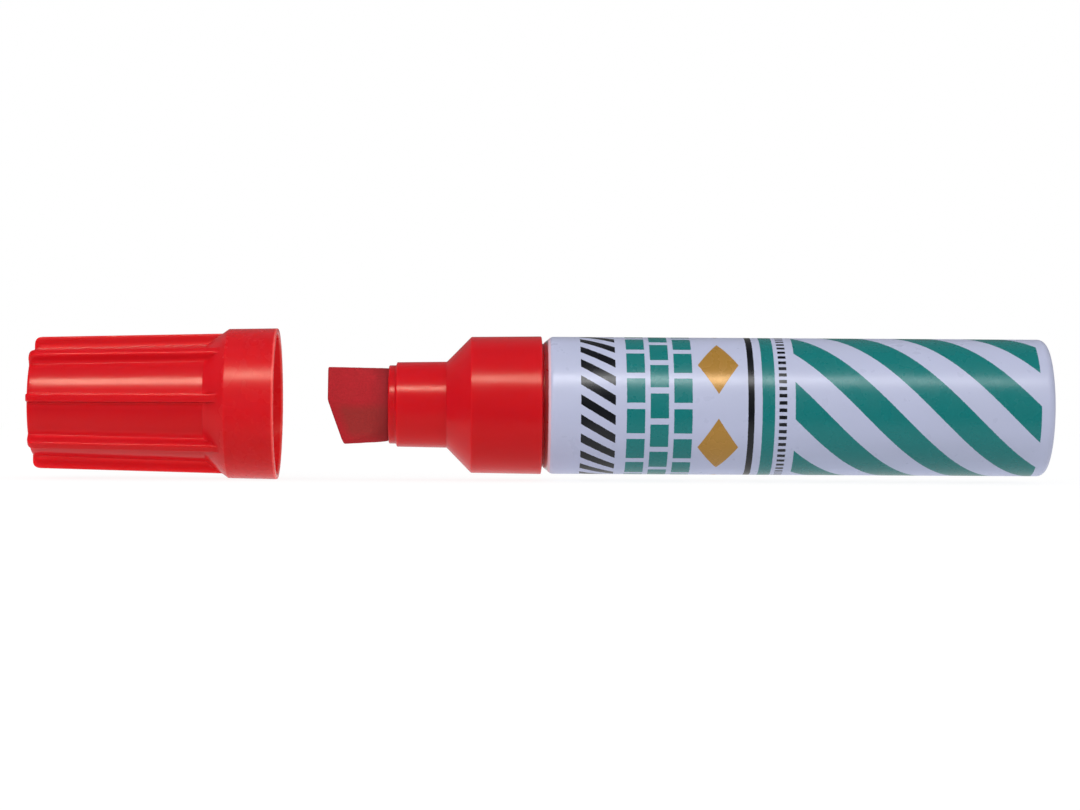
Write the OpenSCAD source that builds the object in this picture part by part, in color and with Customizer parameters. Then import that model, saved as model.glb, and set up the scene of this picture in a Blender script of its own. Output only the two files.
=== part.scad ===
// Jumbo permanent marker with a chisel nib, lying on its side with the cap pulled off.
// The long axis is X: the nib points to -X and the can's closed end to +X. Z is up.
// The origin is the middle of the whole object, on the axis. Millimetres.

/* [Barrel can] */
// Outside diameter of the can
barrel_diameter = 26.6; // [24:0.1:32]
// Length of the can from its front rim to its closed end
barrel_length = 97.65; // [70:0.05:130]
// Thickness of the can's side wall
barrel_wall = 0.5; // [0.3:0.1:0.7]
// Thickness of the can's closed end
barrel_base = 0.8; // [0.5:0.1:2]
// Outside rounding of the closed end's edge
base_radius = 1.5; // [1:0.1:3]
// How far the sloping front rim is pressed inwards
rim_drop = 1.3; // [1:0.1:1.6]
// Length of the sloping front rim
rim_length = 1.6; // [1.2:0.1:2.4]

/* [Nib holder] */
// How much larger than the can the collar is in diameter
collar_step = 0.15; // [0:0.05:1]
// Loss of collar diameter from its rear to its front
collar_draft = 0.35; // [0.1:0.05:0.8]
// Length of the collar
collar_length = 13.55; // [11:0.05:20]
// Length of the sloping shoulder
shoulder_length = 4.75; // [4:0.05:8]
// Length of the neck
neck_length = 9.7; // [7:0.05:15]
// Wall of the neck around the nib, at the front
neck_wall = 1.15; // [0.8:0.05:1.5]
// Gain of neck diameter from its front to its rear
neck_draft = 0.3; // [0.1:0.05:0.6]
// Length of the thin lip in front of the neck
lip_length = 1.5; // [0.8:0.1:3]
// Wall of the thin lip
lip_wall = 0.55; // [0.3:0.05:0.7]
// Open groove between the collar and the can's rim
groove_width = 0.35; // [0.2:0.05:2]
// Wall of the holder at its thinnest, under the groove and the shoulder
holder_wall = 1.1; // [0.8:0.1:1.6]
// Length of the spigot inside the can, behind the sloping rim
spigot_length = 8; // [6:0.5:14]
// Bevel that leads the spigot into the can
spigot_bevel = 0.6; // [0.2:0.1:1]

/* [Chisel nib] */
// Diameter of the felt where it sits in the holder
nib_diameter = 14; // [12:0.1:16]
// Length of felt in front of the lip
nib_projection = 11.75; // [8:0.05:15]
// Thickness of the pressed wedge at the middle of its tip
nib_tip_thickness = 6.4; // [5:0.1:8]
// Slope of each broad face away from its middle ridge, in degrees
nib_face_slope = 10; // [4:1:14]
// How far the top edge flares from lip to tip
nib_flare_top = 0.2; // [0:0.05:0.3]
// How far the bottom edge flares from lip to tip
nib_flare_bottom = 0.9; // [0:0.05:1.05]
// Height above the axis where the square front edge turns into the slanted one
nib_square_end = 0.7; // [-3:0.1:4]
// How far the slanted edge runs back at the bottom
nib_slant = 3.1; // [1:0.1:6]
// How deep the felt's tail dips into the reservoir
nib_dip = 5; // [2:0.5:10]

/* [Ink reservoir] */
// Thickness of the film around the reservoir
wrap_thickness = 0.25; // [0.15:0.05:0.5]
// Air gap between the film and the can
wrap_gap = 0.3; // [0.2:0.1:1]
// Play at each end of the reservoir
reservoir_play = 0.3; // [0.2:0.1:1]
// Thickness of the ring that holds the nib's tail
retainer_thickness = 2.5; // [1.5:0.1:3.5]
// How far the ring sits inside the spigot's rear end
retainer_inset = 1; // [0.5:0.1:2]
// Number of air slots in the ring's edge
vent_count = 4; // [2:1:8]
// Width of an air slot
vent_width = 2; // [1:0.1:3]
// Depth of an air slot
vent_depth = 1.2; // [0.6:0.1:2]

/* [Cap] */
// Length of the cap
cap_length = 47.1; // [43:0.1:60]
// Length of the smooth skirt
skirt_length = 9.45; // [7:0.05:10]
// Wall of the skirt at the mouth
skirt_wall = 1.05; // [0.9:0.05:1.6]
// Loss of skirt diameter from the mouth to the ramp
skirt_draft = 0.35; // [0.1:0.05:0.6]
// Length of the ramp between skirt and ribbed body
ramp_length = 4.2; // [3:0.1:6]
// Wall of the ribbed body next to the ramp
cap_wall = 1.65; // [1.4:0.05:2.5]
// Loss of body diameter from the ramp to the closed end
cap_taper = 2; // [1:0.1:2.4]
// Thickness of the closed end
cap_end_wall = 1.5; // [1:0.1:2.5]
// Rounding of the closed end's edge
cap_end_radius = 0.6; // [0.3:0.1:0.8]
// Number of ribs around the cap
rib_count = 8; // [6:1:12]
// Thickness of a rib
rib_width = 1.45; // [1:0.05:2]
// Height of a rib at the closed end
rib_height_end = 2.3; // [1.5:0.1:3]
// Height of a rib at the ramp
rib_height_ramp = 2.1; // [1.5:0.1:2.4]
// Rounding of a rib's corner at the closed end
rib_corner = 1.2; // [0.4:0.1:1.4]
// Angle of the first rib above the horizontal, seen from the nib's broad side, in degrees
rib_phase = 4.5; // [0:0.25:45]
// Distance from the cap's mouth to the nib's tip when the cap lies off
cap_off_gap = 9.75; // [5:0.05:30]

/* [Inner cap] */
// Wall of the liner cup
liner_wall = 1.2; // [0.8:0.05:1.5]
// Closed end of the liner cup
liner_end_wall = 1; // [0.6:0.1:2]
// Loss of liner diameter from its mouth to its closed end
liner_draft = 0.6; // [0.3:0.1:0.8]

/* [Fits] */
// Play between pieces that are seated in one another
seat_gap = 0.05; // [0.02:0.01:0.1]
// Gap between the sloping rim and the holder
rim_gap = 0.1; // [0.05:0.05:0.3]
// Gap between the cap's skirt and the collar's largest diameter
cap_gap = 0.2; // [0.15:0.05:0.4]
// Gap between the liner and the neck's largest diameter
seal_gap = 0.15; // [0.1:0.05:0.3]
// Gap that is left in front of the collar and the shoulder when the cap is on
cap_stop_gap = 0.3; // [0.2:0.1:1]

/* [Hidden] */

$fn = 120;

// Reach of the solids that only cut or bound other solids
cut_reach = 200;

// Radii of the can and the holder
barrel_r = barrel_diameter / 2;
barrel_bore_r = barrel_r - barrel_wall;
rim_mouth_r = barrel_r - rim_drop;
groove_r = rim_mouth_r - rim_gap;
spigot_r = barrel_bore_r - seat_gap;
holder_bore_r = groove_r - holder_wall;
collar_rear_r = barrel_r + collar_step / 2;
collar_front_r = collar_rear_r - collar_draft / 2;
nib_r = nib_diameter / 2;
nib_bore_r = nib_r + seat_gap;
lip_r = nib_bore_r + lip_wall;
neck_front_r = nib_bore_r + neck_wall;
neck_rear_r = neck_front_r + neck_draft / 2;

// Radii of the reservoir and what holds it
wrap_r = barrel_bore_r - wrap_gap;
wrap_bore_r = wrap_r - wrap_thickness;
reservoir_r = wrap_bore_r - seat_gap;
retainer_r = holder_bore_r - seat_gap;

// Radii of the cap and its liner, built outwards from the neck and the collar
liner_bore_mouth_r = neck_rear_r + seal_gap;
liner_mouth_r = liner_bore_mouth_r + liner_wall;
liner_end_r = liner_mouth_r - liner_draft / 2;
liner_bore_end_r = liner_end_r - liner_wall;
cavity_mouth_r = liner_mouth_r + seat_gap;
cavity_end_r = liner_end_r + seat_gap;
body_ramp_r = cavity_mouth_r + cap_wall;
body_end_r = body_ramp_r - cap_taper / 2;
rib_ramp_r = body_ramp_r + rib_height_ramp;
rib_end_r = body_end_r + rib_height_end;
cap_bore_r = collar_rear_r + cap_gap;
mouth_r = cap_bore_r + skirt_wall;
skirt_r = mouth_r - skirt_draft / 2;

// Places along the axis, from the cap's closed end to the can's closed end
total_length = cap_length + cap_off_gap + nib_projection + lip_length + neck_length + shoulder_length
    + collar_length + groove_width + barrel_length;
x_cap_end = -total_length / 2;
x_cap_mouth = x_cap_end + cap_length;
x_nib_tip = x_cap_mouth + cap_off_gap;
x_lip = x_nib_tip + nib_projection;
x_neck = x_lip + lip_length;
x_shoulder = x_neck + neck_length;
x_collar = x_shoulder + shoulder_length;
x_collar_rear = x_collar + collar_length;
x_barrel = x_collar_rear + groove_width;
x_barrel_rear = x_barrel + barrel_length;

// Inside of the rim: a line that runs one wall behind the slope
rim_slope = atan(rim_drop / rim_length);
x_rim_rear = x_barrel + rim_length;
x_rim_inside = x_barrel + barrel_wall / sin(rim_slope);
x_bore_front = x_rim_rear + barrel_wall * tan(rim_slope / 2);

// Places inside the can, with the spigot's front parallel to the rim
x_spigot = x_rim_inside + rim_gap / sin(rim_slope) - rim_gap / tan(rim_slope);
x_spigot_full = x_spigot + (spigot_r - groove_r) / tan(rim_slope);
x_spigot_rear = x_spigot + spigot_length;
x_retainer = x_spigot_rear - retainer_inset - retainer_thickness;
x_reservoir = x_spigot_rear + reservoir_play;
x_reservoir_rear = x_barrel_rear - barrel_base - reservoir_play;
x_nib_rear = x_reservoir + nib_dip;

// Inside of the shoulder: a line that runs one wall behind the outside
shoulder_rise = (collar_front_r - neck_rear_r) / shoulder_length;
shoulder_shift = holder_wall * sqrt(1 + shoulder_rise * shoulder_rise) / shoulder_rise;
function x_inside_shoulder(r) = x_shoulder + (r - neck_rear_r) / shoulder_rise + shoulder_shift;

// Inside of the cap: the skirt's bore, a line one wall behind the ramp, and the tapered cavity
x_skirt = x_cap_mouth - skirt_length;
x_ramp = x_skirt - ramp_length;
ramp_rise = (skirt_r - body_ramp_r) / ramp_length;
ramp_wall = skirt_wall * sqrt(1 + ramp_rise * ramp_rise);
x_bore_end = x_skirt + (cap_bore_r + ramp_wall - skirt_r) / ramp_rise;
cap_travel = x_collar - cap_stop_gap - x_bore_end;
x_liner_mouth = x_shoulder - cap_stop_gap - cap_travel;
x_cavity_end = x_cap_end + cap_end_wall;
x_liner_end = x_cavity_end + seat_gap;
cavity_rise = (cavity_mouth_r - cavity_end_r) / (x_liner_mouth - x_liner_end);
x_cavity_mouth = x_bore_end - (cap_bore_r - cavity_mouth_r - cavity_rise * (x_bore_end - x_liner_mouth))
    / (ramp_rise - cavity_rise);
cavity_ramp_r = cavity_mouth_r + cavity_rise * (x_cavity_mouth - x_liner_mouth);

// Outer line of the ribs, carried on into the skirt
rib_rise = (rib_ramp_r - rib_end_r) / (x_ramp - x_cap_end);
rib_skirt_r = rib_ramp_r + rib_rise * (x_skirt - x_ramp);

// Wedge of the nib: how fast each broad face closes in, and the tilt of its two halves
nib_root_half = nib_r / cos(nib_face_slope);
nib_wedge = atan((nib_root_half - nib_tip_thickness / 2) / nib_projection);
nib_tilt = atan(tan(nib_face_slope) * cos(nib_wedge));
nib_flare = max(nib_flare_top, nib_flare_bottom);

// Turns a flat outline of [radius, place along the axis] around the X axis
module turned() {
    rotate([0, 90, 0])
        rotate_extrude()
            children();
}

// Half section of a solid with a sloping front and a rounded rear edge
module can_section(mouth_r, x_mouth, r, x_front, x_rear, rear_round) {
    polygon([
        [0, x_mouth],
        [mouth_r, x_mouth],
        [r, x_front],
        [r, x_rear - rear_round],
        [r - rear_round, x_rear],
        [0, x_rear]
    ]);
    translate([r - rear_round, x_rear - rear_round])
        circle(rear_round);
}

// Drawn can with a closed rear end and a front rim pressed inwards to a slope
module barrel_can() {
    color([0.74, 0.75, 0.85])
        turned()
            difference() {
                can_section(rim_mouth_r, x_barrel, barrel_r, x_rim_rear, x_barrel_rear, base_radius);
                can_section(rim_mouth_r, x_rim_inside, barrel_bore_r, x_bore_front,
                    x_barrel_rear - barrel_base, base_radius - barrel_wall);
                translate([0, x_barrel - rim_length])
                    square([rim_mouth_r, 2 * rim_length]);
            }
}

// Red moulding: lip, neck, shoulder, collar, groove and the spigot in the can
module nib_holder() {
    color([0.80, 0.11, 0.14])
        turned()
            polygon([
                [nib_bore_r, x_lip],
                [lip_r, x_lip],
                [lip_r, x_neck],
                [neck_front_r, x_neck],
                [neck_rear_r, x_shoulder],
                [collar_front_r, x_collar],
                [collar_rear_r, x_collar_rear],
                [groove_r, x_collar_rear],
                [groove_r, x_spigot],
                [spigot_r, x_spigot_full],
                [spigot_r, x_spigot_rear - spigot_bevel],
                [spigot_r - spigot_bevel, x_spigot_rear],
                [holder_bore_r, x_spigot_rear],
                [holder_bore_r, x_inside_shoulder(holder_bore_r)],
                [nib_bore_r, x_inside_shoulder(nib_bore_r)]
            ]);
}

// Ring in the holder's rear that grips the nib's tail, with air slots in its edge
module nib_retainer() {
    color([0.90, 0.90, 0.88])
        difference() {
            turned()
                translate([nib_bore_r, x_retainer])
                    square([retainer_r - nib_bore_r, retainer_thickness]);
            for (slot = [0 : vent_count - 1])
                rotate([slot * 360 / vent_count, 0, 0])
                    translate([x_retainer - retainer_thickness, -vent_width / 2, retainer_r - vent_depth])
                        cube([3 * retainer_thickness, vent_width, 2 * vent_depth]);
        }
}

// Half space in front of one half of the nib's near broad face
module nib_face_space(side) {
    translate([x_lip, -nib_root_half, 0])
        rotate([side * nib_tilt, 0, -nib_wedge])
            translate([-cut_reach / 2, 0, -cut_reach / 2])
                cube([cut_reach, cut_reach, cut_reach]);
}

// Side outline of the exposed felt: flared edges, square front above, slanted front below
module nib_outline() {
    rotate([90, 0, 0])
        translate([0, 0, -nib_diameter])
            linear_extrude(2 * nib_diameter)
                polygon([
                    [x_lip, nib_r],
                    [x_nib_tip, nib_r + nib_flare_top],
                    [x_nib_tip, nib_square_end],
                    [x_nib_tip + nib_slant, -nib_r - nib_flare_bottom],
                    [x_lip, -nib_r]
                ]);
}

// Felt rod whose exposed end is pressed to a wide wedge with ridged broad faces
module chisel_nib() {
    color([0.62, 0.15, 0.17])
        union() {
            turned()
                translate([0, x_lip])
                    square([nib_r, x_nib_rear - x_lip]);
            intersection() {
                turned()
                    polygon([
                        [0, x_lip],
                        [nib_r, x_lip],
                        [nib_r + nib_flare, x_nib_tip],
                        [0, x_nib_tip]
                    ]);
                nib_outline();
                nib_wedge_space();
            }
        }
}

// Space between the nib's two broad faces, each of them two planes that meet in a ridge
module nib_wedge_space() {
    intersection() {
        nib_face_space(1);
        nib_face_space(-1);
        mirror([0, 1, 0])
            nib_face_space(1);
        mirror([0, 1, 0])
            nib_face_space(-1);
    }
}

// Fibre rod that holds the ink, with a pocket for the nib's tail
module ink_reservoir() {
    color([0.72, 0.12, 0.16])
        turned()
            polygon([
                [0, x_nib_rear + seat_gap],
                [nib_bore_r, x_nib_rear + seat_gap],
                [nib_bore_r, x_reservoir],
                [reservoir_r, x_reservoir],
                [reservoir_r, x_reservoir_rear],
                [0, x_reservoir_rear]
            ]);
}

// Film sleeve around the fibre rod
module reservoir_wrap() {
    color([0.85, 0.85, 0.85])
        turned()
            translate([wrap_bore_r, x_reservoir])
                square([wrap_thickness, x_reservoir_rear - x_reservoir]);
}

// Outside of the cap without its ribs, as a solid
module cap_body() {
    turned() {
        polygon([
            [0, x_cap_end],
            [body_end_r - cap_end_radius, x_cap_end],
            [body_end_r, x_cap_end + cap_end_radius],
            [body_ramp_r, x_ramp],
            [skirt_r, x_skirt],
            [mouth_r, x_cap_mouth],
            [0, x_cap_mouth]
        ]);
        translate([body_end_r - cap_end_radius, x_cap_end + cap_end_radius])
            circle(cap_end_radius);
    }
}

// Outer limit of the ribs, as a solid
module rib_envelope() {
    turned() {
        polygon([
            [0, x_cap_end],
            [rib_end_r - rib_corner, x_cap_end],
            [rib_end_r, x_cap_end + rib_corner],
            [rib_ramp_r, x_ramp],
            [rib_skirt_r, x_skirt],
            [0, x_skirt]
        ]);
        translate([rib_end_r - rib_corner, x_cap_end + rib_corner])
            circle(rib_corner);
    }
}

// One rib as a flat slab from the axis outwards
module rib_slab(angle) {
    rotate([90 - angle, 0, 0])
        translate([x_cap_end, -rib_width / 2, 0])
            cube([x_skirt - x_cap_end, rib_width, rib_skirt_r + rib_width]);
}

// Room inside the cap: skirt bore, ramp and the cavity that the liner sits in
module cap_room() {
    turned()
        polygon([
            [0, x_cavity_end],
            [cavity_end_r, x_cavity_end],
            [cavity_ramp_r, x_cavity_mouth],
            [cap_bore_r, x_bore_end],
            [cap_bore_r, x_cap_mouth + skirt_length],
            [0, x_cap_mouth + skirt_length]
        ]);
}

// Ribbed cap with a smooth skirt
module cap_shell() {
    color([0.80, 0.11, 0.14])
        difference() {
            union() {
                cap_body();
                intersection() {
                    rib_envelope();
                    for (rib = [0 : rib_count - 1])
                        rib_slab(rib_phase + rib * 360 / rib_count);
                }
            }
            cap_room();
        }
}

// Liner cup in the cap that closes around the neck
module inner_cap() {
    color([0.93, 0.92, 0.90])
        turned()
            polygon([
                [0, x_liner_end],
                [liner_end_r, x_liner_end],
                [liner_mouth_r, x_liner_mouth],
                [liner_bore_mouth_r, x_liner_mouth],
                [liner_bore_end_r, x_liner_end + liner_end_wall],
                [0, x_liner_end + liner_end_wall]
            ]);
}

barrel_can();
nib_holder();
nib_retainer();
chisel_nib();
ink_reservoir();
reservoir_wrap();
cap_shell();
inner_cap();
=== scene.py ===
# %% [markdown]
# # A jumbo permanent marker with its cap off
# The marker is a printed aluminium can with a red plastic nib holder, a wide felt nib, and a ribbed red
# cap that lies in line in front of it. The solid model fixes every size and what moves with what. This
# script dresses it: soft edges, felt, lacquer, print and light. Lengths are written in millimetres and
# turned to metres by MM.

import math

import bmesh
import bpy
import numpy as np
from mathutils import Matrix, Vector, noise


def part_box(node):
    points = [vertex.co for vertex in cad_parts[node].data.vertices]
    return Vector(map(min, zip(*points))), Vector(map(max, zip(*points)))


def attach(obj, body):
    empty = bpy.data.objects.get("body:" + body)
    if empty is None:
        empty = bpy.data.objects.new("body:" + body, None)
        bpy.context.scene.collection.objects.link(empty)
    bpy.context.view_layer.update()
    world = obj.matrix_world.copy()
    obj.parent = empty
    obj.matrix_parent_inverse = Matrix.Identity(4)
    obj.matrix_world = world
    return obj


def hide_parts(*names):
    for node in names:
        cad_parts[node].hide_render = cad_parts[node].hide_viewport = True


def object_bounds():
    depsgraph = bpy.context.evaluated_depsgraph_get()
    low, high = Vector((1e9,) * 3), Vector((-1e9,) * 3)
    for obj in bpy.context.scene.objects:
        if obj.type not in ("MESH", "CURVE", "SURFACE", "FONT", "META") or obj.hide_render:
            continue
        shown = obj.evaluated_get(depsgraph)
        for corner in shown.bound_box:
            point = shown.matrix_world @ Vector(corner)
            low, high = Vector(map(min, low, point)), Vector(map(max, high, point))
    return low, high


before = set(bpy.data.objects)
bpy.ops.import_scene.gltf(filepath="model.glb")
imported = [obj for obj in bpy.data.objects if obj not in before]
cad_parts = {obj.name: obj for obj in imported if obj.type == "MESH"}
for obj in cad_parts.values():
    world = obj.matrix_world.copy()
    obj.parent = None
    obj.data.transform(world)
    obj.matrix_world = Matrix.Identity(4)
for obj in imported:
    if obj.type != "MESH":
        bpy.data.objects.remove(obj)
solid_box = [list(corner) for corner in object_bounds()]
MM = 0.001


def span(node, axis=0):
    """Where a solid starts and ends along X (0), Y (1) or Z (2), in millimetres."""
    return [round(corner[axis] / MM, 3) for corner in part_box(node)]


for node in sorted(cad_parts):
    print(node, "lies from", span(node)[0], "to", span(node)[1], "mm along the axis")

# %% [markdown]
# ## Camera
# The photograph looks at the marker's side through a long lens. Rings around the marker show as narrow
# ellipses: flat where the camera stands square to the axis, and fuller towards both ends. The cap's mouth
# and two printed edges on the can give that place, a little in front of the collar, and the distance. A
# camera can be fitted by eye in the viewport; numbers are used here, so that they can be checked. A small
# turn brings the marker to the picture's middle.

# %% Camera
PHOTO_WIDTH = 1080
FOCAL_PIXELS = 2919.5
SENSOR_WIDTH = 36
CAMERA_PLACE = Vector((-11.61, -567.0, 0.05)) * MM
CAMERA_TURN = math.radians(-1.158)
CAMERA_ROLL = math.radians(-0.32)

camera_lens = bpy.data.cameras.new("photo_camera")
camera_lens.sensor_width = SENSOR_WIDTH
camera_lens.lens = SENSOR_WIDTH * FOCAL_PIXELS / PHOTO_WIDTH
camera = bpy.data.objects.new("photo_camera", camera_lens)
camera.location = CAMERA_PLACE
camera.rotation_euler = (math.pi / 2, CAMERA_ROLL, CAMERA_TURN)
bpy.context.scene.collection.objects.link(camera)
bpy.context.scene.camera = camera
bpy.context.scene.view_settings.view_transform = "Standard"
print("lens in mm:", round(camera_lens.lens, 1))

# %% [markdown]
# ## Helpers for node trees
# Materials, the world and Geometry Nodes are all trees of nodes. They can be drawn by hand in the node
# editors; in a script, a few small helpers keep each tree readable. One fills an input with a link or a
# value, one adds a node, and the others add the nodes that come up again and again and give back their
# results. Two more write down colours.

# %% Node helpers
def plug(tree, socket, value):
    """Links an output to this input, or sets the input's own value."""
    if isinstance(value, bpy.types.NodeSocket):
        tree.links.new(value, socket)
    else:
        socket.default_value = value


def add_node(tree, kind, inputs=None, **settings):
    """Adds a node, sets its settings, and fills its inputs by name or number."""
    node = tree.nodes.new(kind)
    for setting, value in settings.items():
        setattr(node, setting, value)
    for key, value in (inputs or {}).items():
        plug(tree, node.inputs[key], value)
    return node


def calc(tree, operation, *values):
    """Adds a Math node and gives its result."""
    return add_node(tree, "ShaderNodeMath", dict(enumerate(values)), operation=operation).outputs[0]


def split(tree, place):
    """The X, Y and Z of a place."""
    return add_node(tree, "ShaderNodeSeparateXYZ", {0: place}).outputs


def between(tree, value, low, high, start=0.3, end=0.7):
    """Carries a value from start..end over to low..high."""
    inputs = {"Value": value, "From Min": start, "From Max": end, "To Min": low, "To Max": high}
    return add_node(tree, "ShaderNodeMapRange", inputs).outputs[0]


def between_mm(tree, length, low, high, start, end):
    """Carries a length over to low..high; start and end are in millimetres."""
    return between(tree, length, low, high, start * MM, end * MM)


def grey(level):
    """A neutral colour."""
    return (level, level, level, 1.0)


def paint(red, green, blue):
    """A colour read as 0 to 255 on a screen, as the linear colour that shaders use."""
    shares = [v / 255 for v in (red, green, blue)]
    return tuple(s / 12.92 if s <= 0.04045 else ((s + 0.055) / 1.055) ** 2.4 for s in shares) + (1.0,)


print("a mid grey of 128 is", round(paint(128, 128, 128)[0], 3), "in linear light")

# %% [markdown]
# ## Floor and backdrop
# The marker lies on a plain white table in front of a white wall. Both could be one bent sheet of card;
# two flat sheets do here, because the camera is level with the table and sees no join. The camera sees
# the sheets a little lighter than the lamps make them, so that the background comes out white without
# more light on the marker, and the table still keeps a soft shadow. The table glows faintly under and
# behind the marker, as a light table does, so the underside isn't lost in its own shade. In mirrors the
# table goes dark towards the camera and the wall is dim, as with black cloths in a studio, so the reds
# stay deep in front.

# %% Floor and backdrop
CARD_LEVEL = 0.65
TABLE_HEIGHT = solid_box[0][2]
TABLE_REACH = 3.0
WALL_PLACE = 1.2
TABLE_GLOW = (-14, -4, 0.0, 0.55)
TABLE_IN_MIRRORS = (-48, -23, 0.10, 0.70)
TABLE_OWN_LIGHT = 0.88
TABLE_CATCH = 0.16
WALL_GLOW = (0, 1, 0.0, 0.0)
WALL_IN_MIRRORS = (0, 1, 0.2, 0.2)
WALL_OWN_LIGHT = 1.0
WALL_CATCH = 0.0


def glowing(tree, strength):
    """White light of this strength."""
    return add_node(tree, "ShaderNodeEmission", {"Color": grey(1.0), "Strength": strength}).outputs[0]


def glow_across(tree, start, end, low, high):
    """Light that goes from low to high between two places, in millimetres towards the wall."""
    across = split(tree, add_node(tree, "ShaderNodeNewGeometry").outputs["Position"])["Y"]
    return glowing(tree, between_mm(tree, across, low, high, start, end))


def matt(tree, level):
    """A matt sheet as light as this."""
    return add_node(tree, "ShaderNodeBsdfDiffuse", {"Color": grey(level)}).outputs[0]


def white_card(name, own_light, catch, under_glow, in_mirrors):
    """A white sheet. The camera sees own_light in full shadow, and catch is what the lamps add to that.
    Under_glow lights the marker and in_mirrors is what glossy surfaces show; both are for glow_across."""
    card = bpy.data.materials.new(name)
    card.use_nodes = True
    tree = card.node_tree
    tree.nodes.clear()
    rays = add_node(tree, "ShaderNodeLightPath").outputs
    lighting = add_node(tree, "ShaderNodeAddShader", {
        0: matt(tree, CARD_LEVEL), 1: glow_across(tree, *under_glow)})
    on_marker = add_node(tree, "ShaderNodeMixShader", {
        0: rays["Is Glossy Ray"], 1: lighting.outputs[0], 2: glow_across(tree, *in_mirrors)})
    shown = add_node(tree, "ShaderNodeAddShader", {0: glowing(tree, own_light), 1: matt(tree, catch)})
    seen = calc(tree, "MAXIMUM", rays["Is Camera Ray"], rays["Is Transmission Ray"])
    whole = add_node(tree, "ShaderNodeMixShader", {0: seen, 1: on_marker.outputs[0], 2: shown.outputs[0]})
    add_node(tree, "ShaderNodeOutputMaterial", {"Surface": whole.outputs[0]})
    return card


def stage_sheet(name, corners, card):
    """A flat sheet that isn't part of the marker."""
    mesh = bpy.data.meshes.new(name)
    mesh.from_pydata(corners, [], [range(len(corners))])
    mesh.materials.append(card)
    sheet = bpy.data.objects.new(name, mesh)
    bpy.context.scene.collection.objects.link(sheet)


table_corners = [(x, y, TABLE_HEIGHT) for x, y in
                 [(-TABLE_REACH, -TABLE_REACH), (TABLE_REACH, -TABLE_REACH),
                  (TABLE_REACH, WALL_PLACE), (-TABLE_REACH, WALL_PLACE)]]
wall_corners = [(x, WALL_PLACE, z) for x, z in
                [(-TABLE_REACH, TABLE_HEIGHT), (TABLE_REACH, TABLE_HEIGHT),
                 (TABLE_REACH, TABLE_REACH), (-TABLE_REACH, TABLE_REACH)]]
table_card = white_card("table_card", TABLE_OWN_LIGHT, TABLE_CATCH, TABLE_GLOW, TABLE_IN_MIRRORS)
wall_card = white_card("wall_card", WALL_OWN_LIGHT, WALL_CATCH, WALL_GLOW, WALL_IN_MIRRORS)
stage_sheet("table", table_corners, table_card)
stage_sheet("wall", wall_corners, wall_card)
print("table height in mm:", round(TABLE_HEIGHT / MM, 2))

# %% [markdown]
# ## Light
# The photograph is lit very evenly, and on every round surface it has one long soft highlight about 22
# degrees above the middle. A mirror doubles that angle, so a strip lamp hangs about 45 degrees above the
# camera's line. One lamp could do both jobs, but a highlight that strong would overexpose the top. So, as
# with flags and cards in a studio, the jobs are parted: the air of the room and a front box give the even
# light, and the strip is only mirrored. The box hangs towards the cap's side and the strip is brighter at
# that end, because both the light and the highlight fade along the marker.

# %% Light
BOX_SIZE = Vector((700, 400)) * MM
BOX_DISTANCE = 900 * MM
BOX_ELEVATION = math.radians(13)
BOX_RADIANCE = 4.0
BOX_ASIDE = -400 * MM
STRIP_SIZE = Vector((560, 120)) * MM
STRIP_DISTANCE = 600 * MM
STRIP_ELEVATION = math.radians(44.3)
STRIP_RADIANCE = 22.0
STRIP_FADE = 0.22
STRIP_FADE_REACH = 0.35 * STRIP_SIZE[0]
AIR_FILL = 0.85
AIR_MIRRORED = 0.10


def hang_lamp(name, size, distance, elevation, radiance, aside=0.0):
    """Hangs an area lamp in front of the marker, or to one side of that; the camera doesn't see it."""
    light = bpy.data.lights.new(name, "AREA")
    light.shape = "RECTANGLE"
    light.size, light.size_y = size
    light.energy = radiance * math.pi * size[0] * size[1]
    lamp = bpy.data.objects.new(name, light)
    towards = Vector((0, -math.cos(elevation), math.sin(elevation)))
    lamp.location = towards * distance + Vector((aside, 0, 0))
    lamp.rotation_euler = towards.to_track_quat("Z", "Y").to_euler()
    lamp.visible_camera = False
    bpy.context.scene.collection.objects.link(lamp)
    print(name, "gives", round(light.energy, 2), "watts")
    return lamp


front_box = hang_lamp("front_box", BOX_SIZE, BOX_DISTANCE, BOX_ELEVATION, BOX_RADIANCE, BOX_ASIDE)
front_box.visible_glossy = False
strip = hang_lamp("strip", STRIP_SIZE, STRIP_DISTANCE, STRIP_ELEVATION, STRIP_RADIANCE)
strip.visible_diffuse = False
strip.data.use_nodes = True
strip_tree = strip.data.node_tree
on_strip = add_node(strip_tree, "ShaderNodeNewGeometry").outputs["Position"]
along_strip = split(strip_tree, on_strip)["X"]
fade = between(strip_tree, along_strip, 1.0, STRIP_FADE, -STRIP_FADE_REACH, STRIP_FADE_REACH)
plug(strip_tree, strip_tree.nodes["Emission"].inputs["Strength"], fade)

world = bpy.data.worlds.new("studio_air")
world.use_nodes = True
air = world.node_tree
rays = add_node(air, "ShaderNodeLightPath").outputs
level = calc(air, "MULTIPLY_ADD", rays["Is Glossy Ray"], AIR_MIRRORED - AIR_FILL, AIR_FILL)
level = calc(air, "MULTIPLY_ADD", rays["Is Camera Ray"], 1.0 - AIR_FILL, level)
plug(air, air.nodes["Background"].inputs["Color"], grey(1.0))
plug(air, air.nodes["Background"].inputs["Strength"], level)
bpy.context.scene.world = world
print("air of the room:", AIR_FILL, "as light and", AIR_MIRRORED, "in mirrors")

# %% [markdown]
# ## Starting a finish
# Every finish here is a Principled shader whose colour, roughness and small bumps vary over the surface.
# Image textures could carry that variation; noise on Object coordinates needs no image, has no seams, and
# stays put because each piece sits at the origin with its place in its mesh.

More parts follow.
